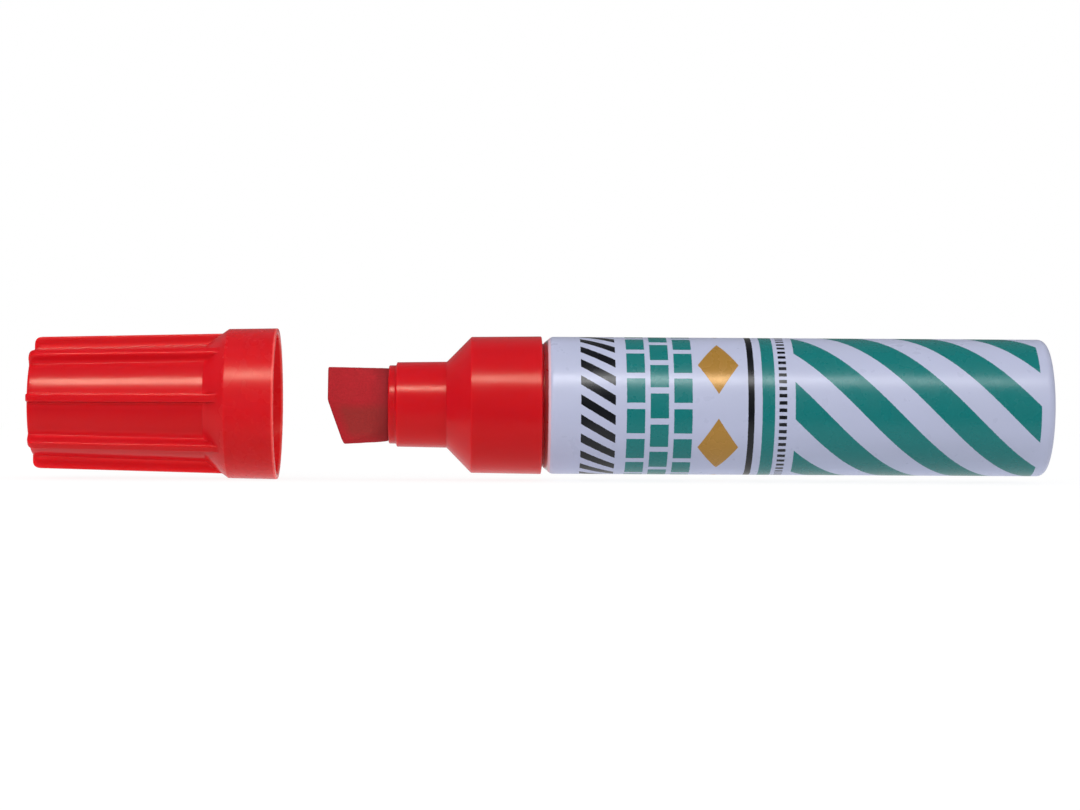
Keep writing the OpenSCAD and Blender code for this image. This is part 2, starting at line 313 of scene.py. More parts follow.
# %% Finish helpers
def new_finish(name, constants):
    """A material with the values that are the same all over.
    Gives the material, its tree, its shader and the place on it."""
    finish = bpy.data.materials.new(name)
    finish.use_nodes = True
    tree = finish.node_tree
    shader = tree.nodes["Principled BSDF"]
    for socket, value in constants.items():
        shader.inputs[socket].default_value = value
    place = add_node(tree, "ShaderNodeTexCoord").outputs["Object"]
    return finish, tree, shader, place


def cloud(tree, place, scale, detail=2.0):
    """Soft noise, from 0 to 1, with about this many blotches to the metre."""
    inputs = {"Vector": place, "Scale": scale, "Detail": detail}
    return add_node(tree, "ShaderNodeTexNoise", inputs).outputs[0]


def stretched(tree, place, along, across):
    """Object coordinates scaled differently along the marker and across it."""
    inputs = {"Vector": place, "Scale": (along, across, across)}
    return add_node(tree, "ShaderNodeMapping", inputs).outputs[0]


def streaks(tree, place, along, across, detail=3.0):
    """Soft noise that is drawn out along the marker; along and across are blotches to the metre."""
    return cloud(tree, stretched(tree, place, along, across), 1.0, detail)


def from_axis(tree, place):
    """How far a place is from the marker's axis."""
    flat = stretched(tree, place, 0.0, 1.0)
    return add_node(tree, "ShaderNodeVectorMath", {0: flat}, operation="LENGTH").outputs["Value"]


def around_axis(tree, parts):
    """The angle of a place around the axis: 0 on the side of -Y, a quarter turn at the top."""
    return calc(tree, "ARCTAN2", parts["Z"], calc(tree, "MULTIPLY", parts["Y"], -1.0))


def blend(tree, share, first, second):
    """Mixes two colours."""
    return add_node(tree, "ShaderNodeMix", {0: share, 6: first, 7: second}, data_type="RGBA").outputs[2]


def mottle(tree, pattern, first, second):
    """Two colours that change over with a noise."""
    return blend(tree, between(tree, pattern, 0.0, 1.0), first, second)


def raised(tree, height, depth, strength):
    """A normal that shows a height of 0 to 1 as bumps of this depth."""
    inputs = {"Height": height, "Distance": depth, "Strength": strength}
    return add_node(tree, "ShaderNodeBump", inputs).outputs[0]


print("finish helpers ready")

# %% [markdown]
# ## Red moulded plastic
# The cap and the nib holder are glossy polypropylene, coloured right through. A new moulding has an almost
# even colour, a faint cloudiness where the melt flowed along the mould, and a skin that isn't perfectly
# flat, which makes the long highlight waver. Light goes a little way into it, so thin ribs glow and cast
# no hard shade. Each moulding is a little rougher towards its rear, so the gloss changes along the axis.

# %% Red moulded plastic
RED_DEEP = paint(204, 19, 31)
RED_BRIGHT = paint(210, 23, 35)
RED_SHINE = (1.0, 0.75, 0.56, 1.0)
RED_DEPTH = 2.0 * MM
RED_SPREAD = (1.0, 0.12, 0.12)
RED_HAZE = 0.02
RED_GRAIN_SHARE = 0.15


def moulded_red(name, roughness, change):
    """Glossy red plastic. Its roughness goes from the first value to the second between two places along
    the axis."""
    finish, tree, shader, place = new_finish(name, {
        "IOR": 1.49, "Specular IOR Level": 0.30, "Specular Tint": RED_SHINE, "Subsurface Weight": 0.85,
        "Subsurface Scale": RED_DEPTH, "Subsurface Radius": RED_SPREAD})
    flow = streaks(tree, place, along=25.0, across=110.0)
    plug(tree, shader.inputs["Base Color"], mottle(tree, flow, RED_DEEP, RED_BRIGHT))
    polish = between_mm(tree, split(tree, place)["X"], *roughness, *change)
    haze = between(tree, cloud(tree, place, scale=350.0), -RED_HAZE, RED_HAZE)
    plug(tree, shader.inputs["Roughness"], calc(tree, "ADD", polish, haze))
    waves = cloud(tree, place, scale=220.0)
    grain = calc(tree, "MULTIPLY", cloud(tree, place, scale=1500.0), RED_GRAIN_SHARE)
    bumps = calc(tree, "ADD", waves, grain)
    plug(tree, shader.inputs["Normal"], raised(tree, bumps, depth=0.03 * MM, strength=0.6))
    return finish


print("red plastic takes light", round(RED_DEPTH / MM, 1), "mm deep")

# %% [markdown]
# ## Rounding a profile
# The can, the nib holder and the cap's liner are turned shapes, and a moulding's corners are never sharp.
# A Bevel modifier could round them after turning; here a helper rounds the corners of the profile itself.
# It keeps a ring close to each side of a rounding, so that smooth shading doesn't spill onto the flats.

# %% Rounding helper
RING_GUARD = 0.06


def rounded(corners, steps=6, closed=False):
    """Rounds a profile. A corner is (along, radius) or (along, radius, rounding), in millimetres."""
    count = len(corners)
    spots = [np.array(corner[:2], float) for corner in corners]
    cuts = []
    for k, corner in enumerate(corners):
        inner = closed or 0 < k < count - 1
        rounding = corner[2] if len(corner) > 2 and inner else 0.0
        back = spots[k - 1] - spots[k]
        ahead = spots[(k + 1) % count] - spots[k]
        turn = math.acos(np.clip(back @ ahead / np.linalg.norm(back) / np.linalg.norm(ahead), -1, 1))
        cuts.append(rounding / math.tan(turn / 2) if rounding else 0.0)
    profile = []
    for k, corner in enumerate(corners):
        if not cuts[k]:
            profile.append(tuple(spots[k]))
            continue
        sides = []
        for other in (k - 1, (k + 1) % count):
            line = spots[other] - spots[k]
            length = np.linalg.norm(line)
            sides.append((line / length, length - cuts[k] - cuts[other] > 4 * RING_GUARD))
        (back, back_free), (ahead, ahead_free) = sides
        start = spots[k] + back * cuts[k]
        end = spots[k] + ahead * cuts[k]
        middle = (back + ahead) / np.linalg.norm(back + ahead)
        centre = spots[k] + middle * math.hypot(cuts[k], corner[2])
        sweep = math.acos(np.clip((start - centre) @ (end - centre) / corner[2] ** 2, -1, 1))
        if back_free:
            profile.append(tuple(start + back * RING_GUARD))
        for step in range(steps + 1):
            gone = step / steps * sweep
            left = (1 - step / steps) * sweep
            mix = math.sin(left) * (start - centre) + math.sin(gone) * (end - centre)
            profile.append(tuple(centre + mix / math.sin(sweep)))
        if ahead_free:
            profile.append(tuple(end + ahead * RING_GUARD))
    return profile


print("a square corner becomes", len(rounded([(0, 0), (5, 0, 1), (5, 5)])), "points")

# %% [markdown]
# ## Skins and pieces
# A Screw modifier can turn a curve around an axis. The helpers here lay the rings of points one by one,
# close the poles and turn all faces outwards, because the felt nib and the ribbed cap are made of rings
# too. The last helper names a finished mesh as the piece that stands for one solid.

# %% Skin helpers
def mesh_mm(name, spots, faces):
    """A mesh from points in millimetres."""
    mesh = bpy.data.meshes.new(name)
    mesh.from_pydata([tuple(v * MM for v in spot) for spot in spots], [], faces)
    return mesh


def face_outwards(mesh):
    """Turns the faces of a closed skin outwards and shades it smooth."""
    work = bmesh.new()
    work.from_mesh(mesh)
    bmesh.ops.recalc_face_normals(work, faces=work.faces)
    work.to_mesh(mesh)
    work.free()
    mesh.shade_smooth()


def skin_of_rings(rings, poles, wrap):
    """Points and faces of rings that follow each other, with a pole at each end. Wrap closes each ring."""
    width = len(rings[0])
    steps = [(k, (k + 1) % width) for k in range(width if wrap else width - 1)]
    spots = [tuple(spot) for ring in rings for spot in ring]
    faces = []
    for row in range(len(rings) - 1):
        here = row * width
        there = here + width
        faces += [(here + k, here + after, there + after, there + k) for k, after in steps]
    for start, pole in zip((0, len(spots) - width), poles):
        spots.append(pole)
        faces += [(start + k, start + after, len(spots) - 1) for k, after in steps]
    return spots, faces


def turned_mesh(name, profile, segments=192, closed=False):
    """Turns a profile around the X axis."""
    spots = []
    rings = []
    turns = [2 * math.pi * k / segments for k in range(segments)]
    for along, radius in profile:
        if radius < 1e-6:
            rings.append([len(spots)])
            spots.append((along, 0, 0))
        else:
            rings.append(list(range(len(spots), len(spots) + segments)))
            spots.extend((along, radius * math.cos(t), radius * math.sin(t)) for t in turns)
    pairs = list(zip(rings, rings[1:]))
    if closed:
        pairs.append((rings[-1], rings[0]))
    faces = []
    for ring, other in pairs:
        for k in range(segments):
            after = (k + 1) % segments
            corners = [ring[k % len(ring)], ring[after % len(ring)],
                       other[after % len(other)], other[k % len(other)]]
            faces.append(list(dict.fromkeys(corners)))
    mesh = mesh_mm(name, spots, faces)
    face_outwards(mesh)
    return mesh


def set_piece(name, mesh, finish, body, node):
    """Makes a mesh a piece of the marker that stands for one solid."""
    mesh.materials.clear()
    mesh.materials.append(finish)
    piece = bpy.data.objects.new(name, mesh)
    bpy.context.scene.collection.objects.link(piece)
    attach(piece, body)
    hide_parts(node)
    print(name, "has", len(mesh.polygons), "faces and stands for", node)


print("skin helpers ready")

# %% [markdown]
# ## Nib holder
# The holder is the red moulding between can and nib: a thin lip around the felt, the neck that the cap's
# liner seals on, a sloping shoulder, and the collar that fills the cap's skirt. Behind the collar a groove
# takes the can's sloping rim, and a spigot goes on into the can. One turned profile gives all of it, with
# the small roundings that catch the light at the lip and at the neck's front.

# %% Nib holder
LIP, SPIGOT_END = span("nib_holder")
CAN_FRONT, CAN_REAR = span("barrel_can")
NECK = LIP + 1.5
SHOULDER = NECK + 9.7
COLLAR = SHOULDER + 4.75
COLLAR_REAR = COLLAR + 13.55
COLLAR_LEAN = 0.2
SPIGOT = CAN_FRONT + 0.828
SPIGOT_RAMP = 1.046
SPIGOT_CHAMFER = 0.6
INNER_SHOULDER = SHOULDER + 0.27
INNER_COLLAR = SHOULDER + 3.94
NIB_BORE_R = 7.05
LIP_R = 7.60
NECK_R = 8.20
NECK_REAR_R = 8.35
COLLAR_R = 13.20
COLLAR_REAR_R = 13.375
GROOVE_R = 11.90
SPIGOT_R = 12.75
SPIGOT_BORE_R = 10.80
HOLDER_ROUGHNESS = (0.22, 0.235)

holder_corners = [
    (LIP, NIB_BORE_R, 0.10), (LIP, LIP_R, 0.30), (NECK, LIP_R, 0.33), (NECK, NECK_R, 0.26),
    (SHOULDER, NECK_REAR_R, 0.30), (COLLAR, COLLAR_R, 0.45), (COLLAR_REAR, COLLAR_REAR_R, 0.25),
    (COLLAR_REAR + COLLAR_LEAN, GROOVE_R, 0.10), (SPIGOT, GROOVE_R, 0.20),
    (SPIGOT + SPIGOT_RAMP, SPIGOT_R, 0.20), (SPIGOT_END - SPIGOT_CHAMFER, SPIGOT_R, 0.15),
    (SPIGOT_END, SPIGOT_R - SPIGOT_CHAMFER, 0.15), (SPIGOT_END, SPIGOT_BORE_R, 0.10),
    (INNER_COLLAR, SPIGOT_BORE_R, 0.30), (INNER_SHOULDER, NIB_BORE_R, 0.30),
]
holder_red = moulded_red("holder_red", HOLDER_ROUGHNESS, (SHOULDER, COLLAR))
holder_mesh = turned_mesh("holder_moulding", rounded(holder_corners, closed=True), closed=True)
set_piece("holder_moulding", holder_mesh, holder_red, "marker", "nib_holder")

# %% [markdown]
# ## Ribbed cap: one ring
# Around the cap eight thin ribs run from the closed end into the ramp of the skirt. Each eighth of the cap
# is the same, so one sector is enough: a rib in the middle and half a panel on each side, with the skirt,
# the mouth and the inside below it. A boolean of slabs and cones would give the shape but no soft edges.
# Here each ring of the sector is laid out point by point, from the rib's top over its rounded edge, down
# its wall and along the panel.

# %% Ribbed cap, sizes and one ring
CAP_END, MOUTH = span("cap_shell")
MOUTH_R = span("cap_shell", 2)[1]
SKIRT = MOUTH - 9.45
SKIRT_R = 14.45
RAMP = SKIRT - 4.2
BODY_END_R = 10.4
BODY_RAMP_R = 11.4
RIB_COUNT = 8
RIB_END_R = 12.7
RIB_RAMP_R = 13.5
RIB_HALF = 0.76
RIB_DRAFT = math.tan(math.radians(0.5))
RIB_EDGE = 0.25
RIB_ROOT = 0.12
ROUNDING_LIMIT = 0.35
TOP_STEPS = 3
BEND_STEPS = 4
WALL_STEPS = 3
PANEL_STEPS = 12
POINT_GAP = 0.012


def arc(radius, across):
    """How far out a circle of this radius lies at a distance across from its middle."""
    return math.sqrt(radius ** 2 - across ** 2)


def sector_ring(body, rib, wall_along, inset=0.0):
    """One ring of the sector as (along, across, out); body and rib are (along, radius)."""
    height = max(rib[1] - body[1], 0.0)
    crest = max(rib[1], body[1])
    edge = min(RIB_EDGE, ROUNDING_LIMIT * height)
    root = min(RIB_ROOT, ROUNDING_LIMIT * height)
    flat = RIB_HALF - inset - edge
    bends = [math.radians(90 * k / BEND_STEPS) for k in range(1, BEND_STEPS + 1)]
    tops = [flat * k / TOP_STEPS for k in range(TOP_STEPS + 1)]
    ring = [(rib[0], across, arc(crest, across)) for across in tops]
    for k, bend in enumerate(bends, 1):
        across = flat + edge * math.sin(bend) + POINT_GAP * k
        ring.append((rib[0], across, arc(crest, across) - edge * (1 - math.cos(bend))))
    for k in range(1, WALL_STEPS + 1):
        drop = (height - edge - root) * k / WALL_STEPS
        across = flat + edge + drop * RIB_DRAFT + POINT_GAP * (BEND_STEPS + k)
        along = rib[0] + (wall_along - rib[0]) * k / WALL_STEPS
        ring.append((along, across, arc(crest, across) - edge - drop))
    foot = ring[-1][1]
    for k, bend in enumerate(bends, 1):
        across = foot + root * (1 - math.cos(bend)) + POINT_GAP * k
        along = wall_along + (body[0] - wall_along) * k / BEND_STEPS
        ring.append((along, across, arc(body[1], across) + root * (1 - math.sin(bend))))
    start = math.asin(ring[-1][1] / body[1])
    edge_turn = math.pi / RIB_COUNT
    for k in range(1, PANEL_STEPS + 1):
        turn = start + (edge_turn - start) * k / PANEL_STEPS
        ring.append((body[0], body[1] * math.sin(turn), body[1] * math.cos(turn)))
    mirrored = [(along, -across, out) for along, across, out in reversed(ring[1:])]
    return np.array(mirrored + ring)


print("rib height in mm:", round(RIB_END_R - BODY_END_R, 2), "to", round(RIB_RAMP_R - BODY_RAMP_R, 2))

# %% [markdown]
# ## Ribbed cap: the whole sector
# The rings run from the middle of the closed end over its rounded edge, along the panels, up the ramp and
# the skirt, around the mouth and back inside to the closed end of the cavity. On the ramp the panel rises
# past the rib's line, so the rib fades into it by itself. A shallow dimple in the closed end is where the
# melt entered the mould.

# %% Ribbed cap, one sector
END_EDGE = 0.5
RIB_CORNER = 1.2
WALL_EDGE = 0.25
CORNER_STEPS = 6
DIMPLE = [(0.08, 0.22), (0.14, 0.22), (0.16, 0.18), (0.18, 0.04), (0.20, 0.0)]
END_SHARES = (0.5, 0.8, 0.97)
PANEL_START = CAP_END + RIB_CORNER + 0.2
PANEL_RINGS = 8
RAMP_STEP = 0.25
SKIRT_BORE_R = 13.575
SKIRT_BORE_END = SKIRT + 0.582
CAVITY_MOUTH = RAMP - 0.492
CAVITY_MOUTH_R = 9.745
CAVITY_END = CAP_END + 1.5
CAVITY_END_R = 9.45
CAVITY_MIDDLE_R = 4.0
CAVITY_SHARES = (0.6, 0.25)


def taper(along, end_radius, ramp_radius):
    """A radius that grows evenly from the closed end to the ramp."""
    return end_radius + (ramp_radius - end_radius) * (along - CAP_END) / (RAMP - CAP_END)


def end_rings():
    """The closed end: a dimpled flat face and its rounded edge."""
    edge_rings = []
    for k in range(CORNER_STEPS + 1):
        bend = math.radians(90 * k / CORNER_STEPS)
        back = 1 - math.cos(bend)
        short = 1 - math.sin(bend)
        body = (CAP_END + END_EDGE * back, BODY_END_R - END_EDGE * short)
        rib = (CAP_END + RIB_CORNER * back, RIB_END_R - RIB_CORNER * short)
        edge_rings.append(sector_ring(body, rib, CAP_END + WALL_EDGE * back, WALL_EDGE * short))
    face = DIMPLE + [(share, 0.0) for share in END_SHARES]
    return [edge_rings[0] * (1, share, share) + (sink, 0, 0) for share, sink in face] + edge_rings


def side_rings():
    """Panels, ramp, skirt and mouth on the outside, then the bore and the cavity on the inside."""
    outline = rounded([
        (PANEL_START, taper(PANEL_START, BODY_END_R, BODY_RAMP_R)), (RAMP, BODY_RAMP_R, 0.22),
        (SKIRT, SKIRT_R, 0.30), (MOUTH, MOUTH_R, 0.20), (MOUTH, SKIRT_BORE_R, 0.28),
        (SKIRT_BORE_END, SKIRT_BORE_R, 0.60), (CAVITY_MOUTH, CAVITY_MOUTH_R, 0.50),
        (CAVITY_END, CAVITY_END_R, 0.40), (CAVITY_END, CAVITY_MIDDLE_R),
    ])
    rings = []
    ribbed = True
    for here, after in zip(outline, outline[1:]):
        steps = 1
        if here == outline[0]:
            steps = PANEL_RINGS
        elif RAMP < here[0] < SKIRT and ribbed:
            steps = max(1, round((after[0] - here[0]) / RAMP_STEP))
        for k in range(steps):
            along, radius = np.array(here) + (np.array(after) - here) * k / steps
            ribbed = ribbed and along < SKIRT
            reach = taper(along, RIB_END_R, RIB_RAMP_R) if ribbed else 0.0
            rings.append(sector_ring((along, radius), (along, reach), along))
    return rings + [rings[-1] * (1, share, share) for share in CAVITY_SHARES]


rings = end_rings() + side_rings()
poles = [(rings[end][0][0], 0.0, 0.0) for end in (0, -1)]
sector_mesh = mesh_mm("cap_sector", *skin_of_rings(rings, poles, wrap=False))
print("cap sector:", len(rings), "rings of", len(rings[0]), "points")

# %% [markdown]
# ## Ribbed cap: finish
# The paler reds on the cap are painted light. Inside the skirt, and a little on the skirt itself, they
# stand in for light that comes through the thin wall. On the panels, most of all beside the ribs, they are
# painted light that lifts the shade in the corners under the ribs. At the edge of the mouth the palest red
# is a painted highlight. More depth of light in the shader would show that too, but it also dulls the ribs.
# So the paler reds are painted by place: along the cap, away from its axis, below the ribs' tops, and from
# the nearest rib.

# %% Ribbed cap, finish
CAP_ROUGHNESS = (0.22, 0.27)
RED_PAINTED_LIGHT_BORE = paint(240, 46, 56)
RED_PAINTED_LIGHT_PANELS = paint(229, 34, 44)
RED_PAINTED_HIGHLIGHT = paint(250, 104, 100)
BORE_LIMIT_R = 14.0
MID_PANEL_SHARE = 0.12
SKIRT_SHARE = 0.15
RIB_FIRST_ANGLE = 4.5


def from_rib(tree, parts):
    """How far a place is from the nearest rib: 0 on the rib, 0.5 in the middle of the panel."""
    start = 0.5 - RIB_FIRST_ANGLE * RIB_COUNT / 360
    repeats = calc(tree, "MULTIPLY_ADD", around_axis(tree, parts), RIB_COUNT / (2 * math.pi), start)
    return calc(tree, "ABSOLUTE", calc(tree, "SUBTRACT", calc(tree, "FRACT", repeats), 0.5))


def painted_light_on_panels(tree, parts, radius):
    """1 beside the ribs, less in the middle of the panels, and 0 outside them."""
    along = parts["X"]
    crest = between_mm(tree, along, RIB_END_R * MM, RIB_RAMP_R * MM, CAP_END, RAMP)
    below_crest = calc(tree, "SUBTRACT", crest, radius)
    # painted light: the panels are paler, most of all beside the ribs, which lifts the shade in the corners
    # under them
    share = between(tree, from_rib(tree, parts), 1.0, MID_PANEL_SHARE, start=0.09, end=0.26)
    limits = [
        between_mm(tree, along, 0.0, 1.0, start=CAP_END + 0.3, end=CAP_END + 1.5),
        between_mm(tree, along, 1.0, 0.0, start=RAMP + 1.5, end=RAMP + 3.5),
        between_mm(tree, below_crest, 0.0, 1.0, start=1.3, end=1.9),
    ]
    for limit in limits:
        share = calc(tree, "MULTIPLY", share, limit)
    return share


def paint_light_into_cap(finish):
    """Paints the paler reds over a finish."""
    tree = finish.node_tree
    base = tree.nodes["Principled BSDF"].inputs["Base Color"]
    place = add_node(tree, "ShaderNodeTexCoord").outputs["Object"]
    parts = split(tree, place)
    along = parts["X"]
    radius = from_axis(tree, place)
    behind = calc(tree, "GREATER_THAN", along, (SKIRT + 0.2) * MM)
    inside = calc(tree, "LESS_THAN", radius, BORE_LIMIT_R * MM)
    # painted light: the inside of the skirt is painted paler, standing in for light that comes through the
    # wall
    bore = calc(tree, "MULTIPLY", inside, behind)
    # painted light on the skirt, standing in for light through its thin wall, and beside the ribs, lifting
    # their shade
    skirt = between_mm(tree, along, 0.0, SKIRT_SHARE, start=SKIRT - 0.4, end=SKIRT + 0.4)
    painted_light_share = calc(tree, "MAXIMUM", painted_light_on_panels(tree, parts, radius), skirt)
    # painted highlight: the rounded edge of the mouth is painted pale pink
    mouth_edge = between_mm(tree, along, 0.0, 1.0, start=MOUTH - 0.5, end=MOUTH - 0.2)
    colour = base.links[0].from_socket
    for share, pale in [(bore, RED_PAINTED_LIGHT_BORE), (painted_light_share, RED_PAINTED_LIGHT_PANELS), (mouth_edge, RED_PAINTED_HIGHLIGHT)]:
        colour = blend(tree, share, colour, pale)
    plug(tree, base, colour)


cap_red = moulded_red("cap_red", CAP_ROUGHNESS, (RAMP, SKIRT))
paint_light_into_cap(cap_red)
print("cap_red has", len(cap_red.node_tree.nodes), "nodes")

# %% [markdown]
# ## Ribbed cap: eight sectors
# An Array modifier with an object offset could repeat the sector. Geometry Nodes do it with fewer objects:
# a row of points, one per rib, places a copy of the sector at each, turned a little further around the
# axis. The copies are then made real and their edges welded, which closes the skin.

# %% Ribbed cap, eight sectors
WELD_DISTANCE = 0.002 * MM


def repeat_tree():
    """A tree that repeats a sector around the X axis and welds the copies."""
    tree = bpy.data.node_groups.new("repeat_around_axis", "GeometryNodeTree")
    kinds = {"Sector": "Geometry", "Count": "Int", "First Angle": "Float", "Weld Distance": "Float",
             "Finish": "Material"}
    sockets = {}
    for name, kind in kinds.items():
        sockets[name] = tree.interface.new_socket(name, in_out="INPUT", socket_type="NodeSocket" + kind)
    tree.interface.new_socket("Cap", in_out="OUTPUT", socket_type="NodeSocketGeometry")
    given = add_node(tree, "NodeGroupInput").outputs
    points = add_node(tree, "GeometryNodePoints", {"Count": given["Count"]})
    number = add_node(tree, "GeometryNodeInputIndex").outputs[0]
    step = calc(tree, "DIVIDE", 2 * math.pi, given["Count"])
    angle = calc(tree, "MULTIPLY_ADD", number, step, given["First Angle"])
    turn = add_node(tree, "ShaderNodeCombineXYZ", {"X": angle})
    rotation = add_node(tree, "FunctionNodeEulerToRotation", {0: turn.outputs[0]})
    copies = add_node(tree, "GeometryNodeInstanceOnPoints", {
        "Points": points.outputs[0], "Instance": given["Sector"], "Rotation": rotation.outputs[0]})
    real = add_node(tree, "GeometryNodeRealizeInstances", {0: copies.outputs[0]})
    weld = add_node(tree, "GeometryNodeMergeByDistance", {
        "Geometry": real.outputs[0], "Distance": given["Weld Distance"]})
    coat = add_node(tree, "GeometryNodeSetMaterial", {
        "Geometry": weld.outputs[0], "Material": given["Finish"]})
    add_node(tree, "NodeGroupOutput", {0: coat.outputs[0]})
    return tree, sockets


def plain_mesh(mesh, tree, settings, name):
    """Runs a Geometry Nodes tree on a mesh and gives the result as a plain mesh."""
    carrier = bpy.data.objects.new(name, mesh)
    bpy.context.scene.collection.objects.link(carrier)
    modifier = carrier.modifiers.new("nodes", "NODES")
    modifier.node_group = tree
    for socket, value in settings:
        modifier[socket.identifier] = value
    graph = bpy.context.evaluated_depsgraph_get()
    made = bpy.data.meshes.new_from_object(carrier.evaluated_get(graph))
    carrier.modifiers.remove(modifier)
    bpy.data.objects.remove(carrier)
    made.name = name
    return made


ribs_tree, ribs_in = repeat_tree()
cap_mesh = plain_mesh(sector_mesh, ribs_tree, [
    (ribs_in["Count"], RIB_COUNT),
    (ribs_in["First Angle"], math.radians(90 - RIB_FIRST_ANGLE)),
    (ribs_in["Weld Distance"], WELD_DISTANCE),
    (ribs_in["Finish"], cap_red),
], "ribbed_cap")
face_outwards(cap_mesh)
set_piece("ribbed_cap", cap_mesh, cap_red, "cap", "cap_shell")

# %% [markdown]
# ## Cap liner
# Inside the cap sits a cup of natural polyethylene whose mouth closes around the neck, so that the nib
# stays wet. It is seen only from the mouth side. A turned profile with well rounded lips gives it; its
# milky white comes from a pale base colour with a little light passing under the surface.

# %% Cap liner
LINER_END, LINER_MOUTH = span("inner_cap")
LINER_FLOOR = LINER_END + 1.0
LINER_END_R = 9.40
LINER_MOUTH_R = 9.70
LINER_SEAL_R = 8.50
LINER_FLOOR_R = 8.20
WAX_DEEP = paint(226, 223, 214)
WAX_PALE = paint(238, 236, 230)


def milky_white(name):
    """Natural polyethylene, slightly cloudy and waxy."""
    finish, tree, shader, place = new_finish(name, {
        "IOR": 1.51, "Specular IOR Level": 0.4, "Subsurface Weight": 0.15, "Subsurface Scale": 0.5 * MM})
    wax = cloud(tree, place, scale=120.0, detail=3.0)
    skin = cloud(tree, place, scale=900.0)
    plug(tree, shader.inputs["Base Color"], mottle(tree, wax, WAX_DEEP, WAX_PALE))
    plug(tree, shader.inputs["Roughness"], between(tree, cloud(tree, place, scale=500.0), 0.38, 0.50))
    plug(tree, shader.inputs["Normal"], raised(tree, skin, depth=0.02 * MM, strength=0.5))
    return finish


polyethylene = milky_white("natural_polyethylene")
liner_corners = [
    (LINER_END, 0.0), (LINER_END, LINER_END_R, 0.45), (LINER_MOUTH, LINER_MOUTH_R, 0.30),
    (LINER_MOUTH, LINER_SEAL_R, 0.40), (LINER_FLOOR, LINER_FLOOR_R, 0.90), (LINER_FLOOR, 0.0),
]
liner_mesh = turned_mesh("cap_liner", rounded(liner_corners))
set_piece("cap_liner", liner_mesh, polyethylene, "cap", "inner_cap")

# %% [markdown]
# ## Lacquered can: motifs of the print
# The can is lacquered in a pale lavender white and printed all around with a plain geometric design. The
# print could be an image on a UV map. Here each motif is a little arithmetic on two numbers, the place
# along the can and the share of a turn around it, so it stays sharp at any size and has no seam. A fine
# noise makes the edges of the ink waver by a few hundredths of a millimetre.

# %% Print motifs
CAN_R = span("barrel_can", 2)[1]
INK_WOBBLE = 0.025
TURNS_PER_MM = 0.01


class PrintPlan:
    """Masks on the can: each is 1 where ink lies and 0 elsewhere. Lengths are in millimetres."""

    def __init__(self, tree, place):
        self.tree = tree
        parts = split(tree, place)
        wobble = between(tree, cloud(tree, place, scale=2500.0), -INK_WOBBLE, INK_WOBBLE)
        self.along = calc(tree, "MULTIPLY_ADD", parts["X"], 1 / MM, wobble)
        around = calc(tree, "MULTIPLY_ADD", around_axis(tree, parts), 1 / (2 * math.pi), 0.5)
        self.turn = calc(tree, "MULTIPLY_ADD", wobble, TURNS_PER_MM, around)

    def either(self, *masks):
        """Everything that one of the masks covers."""
        result = masks[0]
        for mask in masks[1:]:
            result = calc(self.tree, "MAXIMUM", result, mask)
        return result

    def ring(self, start, end):
        """Everything between two places along the can."""
        return calc(self.tree, "COMPARE", self.along, (start + end) / 2, (end - start) / 2)

    def step(self, count, shift=0.0, slant=0.0):
        """Where a place lies in its own repeat around the can, from 0 to 1.
        Slant turns the repeats into a screw."""
        repeats = calc(self.tree, "MULTIPLY_ADD", self.turn, count, shift)
        repeats = calc(self.tree, "MULTIPLY_ADD", self.along, slant, repeats)
        return calc(self.tree, "FRACT", repeats)

    def bars(self, start, end, count, share, shift=0.0, slant=0.0):
        """Bars that fill this share of each repeat."""
        inked = calc(self.tree, "COMPARE", self.step(count, shift, slant), 0.5, share / 2)
        return calc(self.tree, "MULTIPLY", self.ring(start, end), inked)

    def lozenges(self, middle, half_length, count, share, shift=0.0):
        """Diamonds in a row around the can."""
        off_along = calc(self.tree, "ABSOLUTE", calc(self.tree, "SUBTRACT", self.along, middle))
        off_around = calc(self.tree, "ABSOLUTE", calc(self.tree, "SUBTRACT", self.step(count, shift), 0.5))
        lengthwise = calc(self.tree, "DIVIDE", off_along, half_length)
        reach = calc(self.tree, "MULTIPLY_ADD", off_around, 2 / share, lengthwise)
        return calc(self.tree, "LESS_THAN", reach, 1.0)


print("repeats on the can run over", round(2 * math.pi * CAN_R, 1), "mm")

# %% [markdown]
# ## Lacquered can: lacquer and inks
# From front to rear the print has a ring of slanted dashes in black, three rows of green blocks, gold
# lozenges, thin rings in black and green, a ring of short black ticks, and slanted green bars on the rear
# half. The lacquer ends at the rim, where bare aluminium shows; just behind it a narrow pink band is a
# painted reflection of the red collar. Ink lies on the lacquer as a thin film, so it is raised a little and
# shines slightly more.

# %% Lacquer and print
LACQUER = paint(188, 193, 221)
LACQUER_WARM = paint(184, 189, 215)
PRINT_GREEN = paint(0, 116, 116)
PRINT_GREEN_WORN = paint(4, 121, 120)
PRINT_BLACK = paint(12, 15, 24)
PRINT_GOLD = paint(176, 130, 54)
RIM_METAL = paint(214, 206, 206)
RIM_PAINTED_REFLECTION = paint(228, 190, 204)
LACQUER_EDGE = CAN_FRONT + 0.85
PINK_REFLECTION_END = CAN_FRONT + 1.30
GOLD_METALLIC = 0.15
INK_SHINE = -0.03
INK_HEIGHT = 0.6
PEEL_HEIGHT = 0.5

